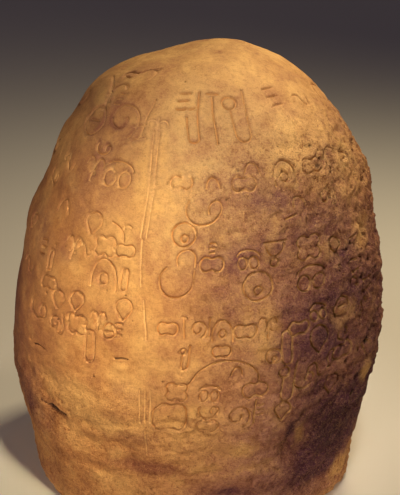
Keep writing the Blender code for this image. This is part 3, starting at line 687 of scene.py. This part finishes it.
def near(points, places, reach):
    """Which points lie in the box of a place or line, grown by a reach in metres."""
    margin = reach / radius_at(places[:, 1]).min()
    inside = (points > places.min(0) - margin) & (points < places.max(0) + margin)
    return np.flatnonzero(inside.all(axis=1))


def line_gaps(points, places, reach):
    """Which points lie near a line, and their distances from it in metres."""
    found = near(points, places, reach)
    return found, distances(points[found], places) * radius_at(points[found, 1])


def hole_gaps(points, place, reach):
    """Which points lie near a place, and their distances from it in metres."""
    found = near(points, place[None], reach)
    return found, np.linalg.norm(points[found] - place, axis=1) * radius_at(place[1])


def clearances(points, cuts):
    """How many half widths the points in or beside cut lines are from the nearest one's middle."""
    gaps = np.full(len(points), np.inf)
    for places, half, _ in cuts:
        found, gap = line_gaps(points, places, half)
        gaps[found] = np.minimum(gaps[found], gap / half)
    return gaps


def row_points(cuts):
    """Points in rows along every cut line, without those that a neighbouring line's cut takes."""
    kept = []
    for places, half, _ in cuts:
        along = directions(places)
        across = np.column_stack((-along[:, 1], along[:, 0]))
        reach = (half / radius_at(places[:, 1]))[:, None]
        for offset in ROW_OFFSETS:
            for side in (-1, 1) if offset else (0,):
                row = places + side * offset * reach * across
                kept.append(np.column_stack((row, np.full(len(row), offset))))
        if not is_closed(places):
            for end, sign in ((0, -1), (-1, 1)):
                for offset in ROW_OFFSETS[1:]:
                    tip = places[end] + sign * offset * reach[end] * along[end]
                    kept.append(np.array([(*tip, offset)]))
    rows = np.vstack(kept)
    gaps = clearances(rows[:, :2], cuts)
    return rows[gaps >= rows[:, 2] - 0.15, :2]


def pit_points(holes):
    """Points for each pit: its bottom, a ring inside and its rim."""
    found = []
    for place, radius in holes:
        scale = radius / radius_at(place[1])
        for share, count in PIT_RINGS:
            angles = math.tau * np.arange(count) / count
            found.append(place + share * scale * np.column_stack((np.cos(angles), np.sin(angles))))
    return np.vstack(found)


def clear_share(points, cuts, holes):
    """Which points keep clear of the cuts and the pits."""
    clear = np.ones(len(points), bool)
    for places, half, _ in cuts:
        reach = ROW_OFFSETS[-1] * half + 0.5 * GRAIN
        found, gap = line_gaps(points, places, reach)
        clear[found[gap < reach]] = False
    for place, radius in holes:
        reach = PIT_RINGS[-1][0] * radius + 0.4 * GRAIN
        found, gap = hole_gaps(points, place, reach)
        clear[found[gap < reach]] = False
    return clear


def plain_points(cuts, holes):
    """Evenly spaced places of the plain surface, clear of the cuts and pits, and the seam's levels."""
    row_height = GRAIN * math.sqrt(3) / 2
    row_count = round(CLIMBS[-1] / row_height / BACK_COARSER) * BACK_COARSER
    levels = np.interp(np.linspace(0, CLIMBS[-1], row_count + 1), CLIMBS, LEVELS)
    found = []
    for index, level in enumerate(levels):
        count = max(24, round(math.tau * float(radius_at(level)) / GRAIN))
        shift = 0.5 * (index % 2)
        azimuths = -math.pi + math.tau * (np.arange(count) + 0.5 + shift) / count
        behind = np.abs(azimuths) > BACK_FROM
        coarse = np.arange(count) % BACK_COARSER == (index // BACK_COARSER) % BACK_COARSER
        keep = ~behind | (coarse & (index % BACK_COARSER == 0))
        inside = np.abs(azimuths) < math.pi - 0.4 * math.tau / count
        found.append(np.column_stack((azimuths, np.full(count, level)))[keep & inside])
    points = np.vstack(found)
    on_rim = (points[:, 1] <= 0) | (points[:, 1] >= TOP_LEVEL)
    return points[clear_share(points, cuts, holes) | on_rim], levels[::BACK_COARSER]


def thinned(points):
    """The points without near copies of one another."""
    cells = np.round(points * radius_at(points[:, 1:]) / NEAREST).astype(int)
    _, first = np.unique(cells, axis=0, return_index=True)
    return points[np.sort(first)]


def triangulate(cuts, holes):
    """Places and triangles of the unrolled side."""
    points, seam = plain_points(cuts, holes)
    rows = thinned(np.vstack((row_points(cuts), pit_points(holes))))
    rows = rows[(rows[:, 1] > 0) & (rows[:, 1] < TOP_LEVEL)]
    count = len(points) + len(rows)
    edges = []
    vertices = [points, rows]
    for side in (-math.pi, math.pi):
        edges += [(count + step, count + step + 1) for step in range(len(seam) - 1)]
        vertices.append(np.column_stack((np.full(len(seam), side), seam)))
        count += len(seam)
    flat = [Vector(point) for point in np.vstack(vertices).tolist()]
    result = delaunay_2d_cdt(flat, edges, [], 0, 1e-7)
    return np.array([tuple(point) for point in result[0]]), np.array(result[2])


def close_round(points, faces):
    """Joins the two sides of the seam at the back, and drops what that leaves unused."""
    left = np.flatnonzero(points[:, 0] < -math.pi + 1e-6)
    right = np.flatnonzero(points[:, 0] > math.pi - 1e-6)
    left = left[np.argsort(points[left, 1])]
    right = right[np.argsort(points[right, 1])]
    target = np.arange(len(points))
    target[right] = left
    faces = target[faces]
    kept, faces = np.unique(faces, return_inverse=True)
    return points[kept], faces.reshape(-1, 3)


def groove_depths(points, cuts):
    """How deep the given lines are at each point, each a V, and the share of its depth."""
    depths, shares = np.zeros((2, len(points)))
    for places, half, depth in cuts:
        found, gap = line_gaps(points, places, half)
        share = np.clip(1 - gap / half, 0, 1) ** CUT_CURVE
        depths[found] = np.maximum(depths[found], depth * share)
        shares[found] = np.maximum(shares[found], share)
    return depths, shares


def scar_depths(points, cuts):
    """How deep the scars are at each point, and how dark with dirt and painted shade."""
    depths, dirt_and_shade = np.zeros((2, len(points)))
    for cut, (*_, dirt_and_shade_share) in zip(cuts, SCARS):
        depth, share = groove_depths(points, [cut])
        depths = np.maximum(depths, depth)
        dirt_and_shade = np.maximum(dirt_and_shade, dirt_and_shade_share * np.clip(1.7 * share, 0, 1))
    return depths, dirt_and_shade


def pit_depths(points, holes):
    """How deep the pits are at each point, and the share of their depth."""
    depths, shares = np.zeros((2, len(points)))
    for place, radius in holes:
        found, gap = hole_gaps(points, place, radius)
        share = np.clip(1 - (gap / radius) ** 2, 0, 1)
        depths[found] = np.maximum(depths[found], PIT_DEEPNESS * radius * share)
        shares[found] = np.maximum(shares[found], share)
    return depths, shares


def flake_depths(points):
    """How far the flake scar lies below the plain surface: a step at its edge, fading beyond it."""
    edge = place_path(FLAKE_EDGE)
    found = near(points, edge, FLAKE_REACH)
    depths = np.zeros(len(points))
    here = points[found]
    gap = distances(here, edge) * radius_at(here[:, 1])
    beyond = here[:, 0] > np.interp(here[:, 1], edge[::-1, 1], edge[::-1, 0])
    share = np.clip((here[:, 1] - edge[-1, 1]) / (edge[0, 1] - edge[-1, 1]), 0, 1)
    step = np.clip(gap / FLAKE_STEP, 0, 1) * np.sin(math.pi * share)
    fade = np.clip(1 - (gap - FLAKE_STEP) / (FLAKE_REACH - FLAKE_STEP), 0, 1)
    depths[found] = np.where(beyond, FLAKE_DROP * step * fade, 0)
    return depths


def swells(points):
    """The push of the named swells, hollows and dents, and of the broad unevenness."""
    push = np.zeros(len(points))
    for degrees, height, reach, amount in SWELLS + DENTS:
        middle = body_point(np.radians([degrees]), level_at_height([height]))
        push += amount * np.exp(-((points - middle) ** 2).sum(1) / reach**2)
    for *direction, phase in LUMP_WAVES:
        push += LUMP_PUSH * np.sin(points @ direction * math.tau / LUMP_PERIOD + phase)
    return push


def ramp(values, start, end):
    """From 0 at one value to 1 at another."""
    return np.clip((values - start) / (end - start), 0, 1)


def degrees_round(points):
    """The azimuth of points in space, in degrees."""
    return np.degrees(np.arctan2(points[:, 0], -points[:, 1]))


def flank_mask(points):
    """From 0 to 1 where the right flank's rough stone is."""
    azimuth, height = degrees_round(points), points[:, 2]
    across = ramp(azimuth, 38, 62) * ramp(azimuth, 120, 90)
    return across * ramp(height, 0.16, 0.32) * ramp(height, 0.97, 0.83)


def rough_mask(points):
    """From 0 on the smooth left and top to 1 on the coarser right."""
    azimuth, height = degrees_round(points), points[:, 2]
    across = ramp(azimuth, -10, 40) * ramp(azimuth, 190, 130)
    low = np.minimum(ramp(height, 0.42, 0.22), 0.5)
    return np.maximum(low, across * ramp(height, 0.92, 0.80))


def blob(points, azimuth, height, wide, tall):
    """A soft spot of the surface, from 1 at its middle to 0, with half its width and height."""
    middle = body_point(np.radians([azimuth]), level_at_height([height]))
    gap = np.hypot((points - middle)[:, 0] / wide, (points - middle)[:, 2] / tall)
    beside = np.hypot(gap, (points - middle)[:, 1] / (3 * wide))
    return np.exp(-(beside**2))


def spots_mask(points, spots):
    return np.clip(sum(strength * blob(points, *spot) for *spot, strength in spots), 0, 1)


def weathering(points):
    """The worn surface's own small relief, which is stronger on the right."""
    coarse = rough_mask(points)
    broad = BROAD_PUSH * fractal(points, *BROAD_WEAR)
    dents = DENT_PUSH * np.clip(fractal(points * (1, 1, 1.7), *DENT_WEAR), -1, 0.1)
    small = SMALL_PUSH * (1 + coarse) * fractal(points, *SMALL_WEAR)
    ridges = np.abs(fractal(points, *FLANK_WEAR)) - 0.2
    fine = (SMOOTH_SIDE + COARSE_SIDE * coarse) * (broad + dents + small)
    return fine - FLANK_PUSH * flank_mask(points) * ridges


def worn_share(points):
    """How much of a cut line's depth is left: less on the left and at the top, more low down."""
    azimuth, height = degrees_round(points), points[:, 2]
    left = ramp(azimuth, -16, -32)
    right = ramp(azimuth, 12, 42)
    top = ramp(height, 0.83, 0.87)
    low = (1 - left) * ramp(height, 0.72, 0.57)
    patchy = 1 + (0.35 - 0.20 * right) * fractal(points, 0.06, 2, 7)
    share = (1 - 0.06 * left) * (1 - (0.06 + 0.38 * right) * top) * (1 + 0.16 * low)
    return np.clip(share * patchy, 0.35, 1.30)


def fan(places, rim, centre, upward):
    """Triangles that close a round rim of points to one at its middle."""
    order = rim[np.argsort(places[rim, 0])]
    following = np.roll(order, -1)
    first, second = (order, following) if upward else (following, order)
    return np.column_stack((first, second, np.full(len(order), centre)))


def stone_surface():
    """Points in space, triangles and the masks of cut lines and of dirt with painted shade of the whole
    closed stone.
    """
    cuts = grooves()
    marks, scars = cuts[: -len(SCARS)], cuts[-len(SCARS) :]
    holes = pits()
    places, faces = close_round(*triangulate(cuts, holes))
    azimuth, level = places.T
    plain = body_point(azimuth, level)
    wear = worn_share(plain)
    carved, shares = groove_depths(places, marks)
    broken, dirt_and_shade = scar_depths(places, scars)
    hollow, shade = pit_depths(places, holes)
    # How near the cut lines each point lies, for the soot and painted shade beside them
    halo = groove_depths(places, [(path, HALO * half, 1.0) for path, half, _ in marks])[1]
    depth = np.maximum(carved * wear, broken) + hollow + flake_depths(places)
    push = swells(plain) + weathering(plain) - depth
    points = plain + body_normal(azimuth, level) * push[:, None]
    foot = np.flatnonzero(level <= 1e-6)
    cap = np.flatnonzero(level >= TOP_LEVEL - 1e-6)
    points[foot, 2] = 0
    points[:, 2] = np.maximum(points[:, 2], 0)
    middle = points[foot].mean(0) * (1, 1, 0)
    top = points[cap].mean(0) + (0, 0, CAP_RISE)
    ends = fan(places, foot, len(points), False), fan(places, cap, len(points) + 1, True)
    # Dirt and painted shade in the scars and pits
    masks = {"cut": shares * wear, "halo": halo * wear, "dirt_and_shade": np.maximum(dirt_and_shade, PIT_DIRT_AND_SHADE * shade)}
    masks = {name: np.append(mask, (0, 0)) for name, mask in masks.items()}
    return np.vstack((points, middle, top)), np.vstack((faces, *ends)), masks


def fitted(points):
    """The points moved onto the solid's box, and drawn in where the relief stands out of it."""
    low, high = points.min(0), points.max(0)
    solid_low, solid_high = (np.array(corner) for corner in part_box("stele"))
    shares = np.minimum(1, (solid_high - solid_low) / (high - low))
    placed = (points - 0.5 * (low + high)) * shares + 0.5 * (solid_low + solid_high)
    placed[:, 2] += solid_low[2] - placed[:, 2].min()
    return placed


def added(name, data):
    """A new object of the scene."""
    made = bpy.data.objects.new(name, data)
    bpy.context.scene.collection.objects.link(made)
    return made


def new_material(name):
    """A material and its shader."""
    material = bpy.data.materials.new(name)
    material.use_nodes = True
    return material, material.node_tree.nodes["Principled BSDF"]


def make_stone():
    points, faces, masks = stone_surface()
    points = fitted(points)
    masks["rough"] = rough_mask(points)
    masks |= {name: spots_mask(points, spots) for name, spots in PLACES.items()}
    mesh = bpy.data.meshes.new("weathered_stone")
    mesh.from_pydata(points.tolist(), [], faces.tolist())
    mesh.shade_smooth()
    mesh.set_sharp_from_angle(angle=SHARP_ANGLE)
    for name, values in masks.items():
        mesh.attributes.new(name, "FLOAT", "POINT").data.foreach_set("value", values)
    mesh.materials.append(stone_material())
    stone = added("weathered_stone", mesh)
    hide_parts("stele")
    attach(stone, "root")


class Nodes:
    """The nodes of one material. Their inputs are numbers, colours and other nodes' outputs."""

    def __init__(self, tree):
        self.tree = tree
        self.place = self.add("ShaderNodeTexCoord").outputs["Object"]

    def add(self, kind, inputs=None, **settings):
        made = self.tree.nodes.new(kind)
        for name, value in settings.items():
            setattr(made, name, value)
        for key, value in (inputs or {}).items():
            if isinstance(value, bpy.types.NodeSocket):
                self.tree.links.new(value, made.inputs[key])
            else:
                made.inputs[key].default_value = value
        return made

    def clouds(self, scale, detail, rough, distort):
        inputs = {"Vector": self.place, "Scale": scale, "Detail": detail, "Roughness": rough}
        return self.add("ShaderNodeTexNoise", {**inputs, "Distortion": distort}).outputs[0]

    def mask(self, name):
        return self.add("ShaderNodeAttribute", attribute_name=name).outputs["Fac"]

    def span(self, value, low, high, to_low=0.0, to_high=1.0):
        """A value between two limits, laid over two others and held at them beyond."""
        inputs = {0: value, 1: low, 2: high, 3: to_low, 4: to_high}
        return self.add("ShaderNodeMapRange", inputs).outputs[0]

    def mixed(self, share, first, second, blend="MIX"):
        inputs = {0: share, 6: first, 7: second}
        return self.add("ShaderNodeMix", inputs, data_type="RGBA", blend_type=blend).outputs[2]

    def math(self, operation, first, second):
        return self.add("ShaderNodeMath", {0: first, 1: second}, operation=operation).outputs[0]

    def times(self, first, second):
        return self.math("MULTIPLY", first, second)

    def plus(self, first, second):
        return self.math("ADD", first, second)


def ragged(nodes, mask, noise, reach):
    """A soft mask whose edge a noise moves to and fro."""
    shift = nodes.span(noise, 0.3, 0.7, -reach, reach)
    return nodes.plus(mask, nodes.times(shift, nodes.span(mask, 0, 0.3)))


def layer_values(nodes):
    """The noises and masks that show the layers of the stone's colour, by name."""
    found = {name: nodes.clouds(*settings) for name, settings in NOISES.items()}
    found |= {name: nodes.mask(name) for name in ("rough", "cut", "halo", "dirt_and_shade", *PLACES)}
    for name, (noise, reach) in RAGGED.items():
        found["ragged " + name] = ragged(nodes, found[name], found[noise], reach)
    found["coarse"] = nodes.span(found["rough"], 0, 1, *SIDE_GRAINS)
    patches = nodes.span(found["patches"], 0.52, 0.64)
    found["coarse patches"] = nodes.times(patches, found["coarse"])
    # Soot and painted shade beside the cut lines
    soot_and_shade = nodes.times(found["halo"], nodes.span(found["soot"], 0, 1, 0.3, 1))
    found["soot_and_shade"] = nodes.times(soot_and_shade, nodes.span(found["mottle"], 0.35, 0.6, 0.5, 1.2))
    # Dust and painted highlight in the cut lines, less where sooty
    dust_and_highlight = nodes.span(found["soot"], 0.55, 0.9, 1, 0.3)
    dust_and_highlight = nodes.times(nodes.span(found["patches"], 0.38, 0.58, 0.5, 0.95), dust_and_highlight)
    found["dust_and_highlight"] = nodes.times(nodes.span(found["cut"], 0.25, 0.85), dust_and_highlight)
    clean = nodes.span(found["patina_and_shade"], 0, 0.9, 1, 0.5)
    found["clean fine"] = nodes.times(nodes.span(found["fine"], 0.52, 0.72), clean)
    found["clean grain"] = nodes.times(nodes.span(found["grain"], 0.56, 0.71), clean)
    return found


def layered(nodes, found, colour, layers):
    """A colour under layers of others."""
    for name, start, end, share, *tint in layers:
        colour = nodes.mixed(nodes.span(found[name], start, end, 0, share), colour, *tint)
    return colour


def stone_colour(nodes, found):
    """The bare stone under its dark skin and painted shade, what has settled on that with more painted
    shade and highlights, and the grain where coarse.
    """
    # The dark skin's colour, which also paints shade
    skin_and_shade = nodes.mixed(nodes.span(found["patina_and_shade"], 0.5, 1), UMBER, PATINA_AND_SHADE)
    bare = layered(nodes, found, TAN, BARE_LAYERS)
    dark = layered(nodes, found, bare, (("ragged patina_and_shade", *SKIN_AND_SHADE_EDGE, skin_and_shade),))
    plain = layered(nodes, found, dark, UPPER_LAYERS)
    return nodes.mixed(found["coarse"], plain, layered(nodes, found, plain, GRAIN_LAYERS))


def grain_bump(nodes, found):
    """The relief of the grain, higher where the stone is rough."""
    height = nodes.plus(found["fine"], nodes.times(found["grain"], GRAIN_BUMP))
    height = nodes.plus(height, nodes.times(found["lumps"], LUMP_BUMP))
    height = nodes.times(height, nodes.span(found["rough"], 0, 1, *SIDE_BUMPS))
    inputs = {"Strength": BUMP_STRENGTH, "Distance": BUMP_HEIGHT, "Height": height}
    return nodes.add("ShaderNodeBump", inputs).outputs[0]


def stone_material():
    material, shader = new_material("andesite")
    nodes = Nodes(material.node_tree)
    found = layer_values(nodes)
    outputs = {
        "Base Color": stone_colour(nodes, found),
        "Roughness": nodes.span(found["fine"], 0.3, 0.7, *ROUGHNESSES),
        "Normal": grain_bump(nodes, found),
    }
    for name, output in outputs.items():
        nodes.tree.links.new(output, shader.inputs[name])
    shader.inputs["Specular IOR Level"].default_value = SHEEN
    return material


def make_floor():
    mesh = bpy.data.meshes.new("floor")
    corners = ((-1, -1), (1, -1), (1, 1), (-1, 1))
    mesh.from_pydata([(FLOOR_HALF * x, FLOOR_HALF * y, 0) for x, y in corners], [], [(0, 1, 2, 3)])
    material, shader = new_material("pale_floor")
    shader.inputs["Base Color"].default_value = FLOOR_COLOUR
    shader.inputs["Roughness"].default_value = FLOOR_ROUGHNESS
    mesh.materials.append(material)
    floor = added("floor", mesh)


def make_light(name, place, target, size, power, colour, spread):
    data = bpy.data.lights.new(name, "AREA")
    data.size = size
    data.energy = power
    data.color = colour
    data.spread = math.radians(spread)
    light = added(name, data)
    light.location = place
    light.rotation_euler = (Vector(place) - Vector(target)).to_track_quat("Z", "Y").to_euler()


def make_world():
    world = bpy.data.worlds.new("studio")
    world.use_nodes = True
    background = world.node_tree.nodes["Background"]
    background.inputs["Color"].default_value = WORLD_COLOUR
    background.inputs["Strength"].default_value = WORLD_STRENGTH
    bpy.context.scene.world = world


def make_camera():
    data = bpy.data.cameras.new("camera")
    data.sensor_fit = "VERTICAL"
    data.sensor_width = CAMERA_SENSOR
    data.sensor_height = CAMERA_SENSOR
    data.lens = CAMERA_LENS
    camera = added("camera", data)
    camera.location = CAMERA_PLACE
    camera.rotation_euler = Euler((math.radians(90 - CAMERA_PITCH), 0, 0))
    bpy.context.scene.camera = camera


make_camera()
make_floor()
make_world()
for light in LIGHTS:
    make_light(*light)
make_stone()
bpy.context.scene.view_settings.view_transform = "Standard"
